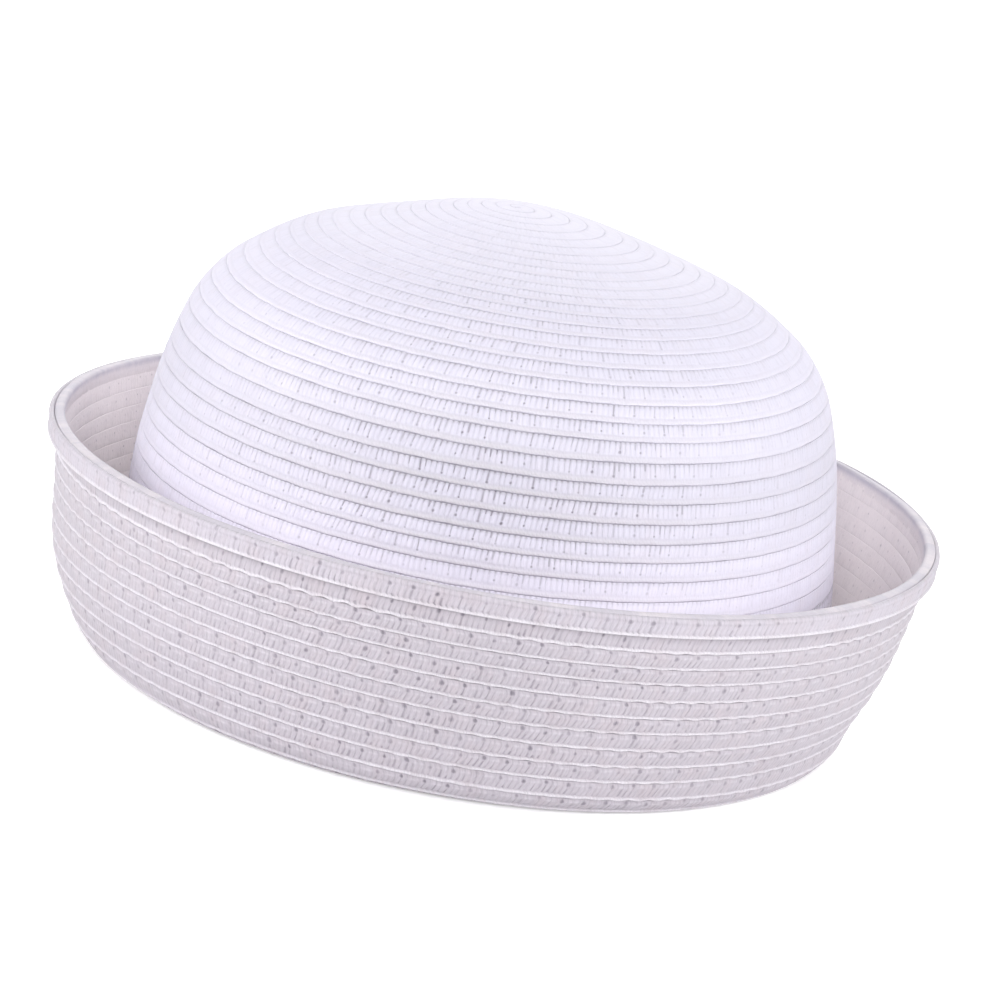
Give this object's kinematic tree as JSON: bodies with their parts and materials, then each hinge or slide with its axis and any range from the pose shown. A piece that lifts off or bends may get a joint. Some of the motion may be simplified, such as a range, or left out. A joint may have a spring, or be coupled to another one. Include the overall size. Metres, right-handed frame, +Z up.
{
  "type": "straw hat",
  "caption": "Straw hat of sewn braid, with a domed crown and a flared brim turned up all the way round, finished with a doubled edge.",
  "frame": {"origin": "middle of the plane that the hat rests on, under the middle of its box", "axes": "+Z up through the crown, +X to the right in the picture, and the side that the picture shows faces -Y"},
  "size_m": [0.2242, 0.2262, 0.1217],
  "materials": {
    "crown_straw": "white sewn braid with a faint lavender cast, matte with a soft sheen",
    "brim_straw": "the same white sewn braid, seen from its wrong side on the outside of the brim, matte",
    "rim_straw": "white braid folded over the rim, matte with a soft sheen"
  },
  "bodies": {
    "root": {"crown": "crown_straw", "brim": "brim_straw", "rim_braid": "rim_straw"}
  },
  "joints": []
}
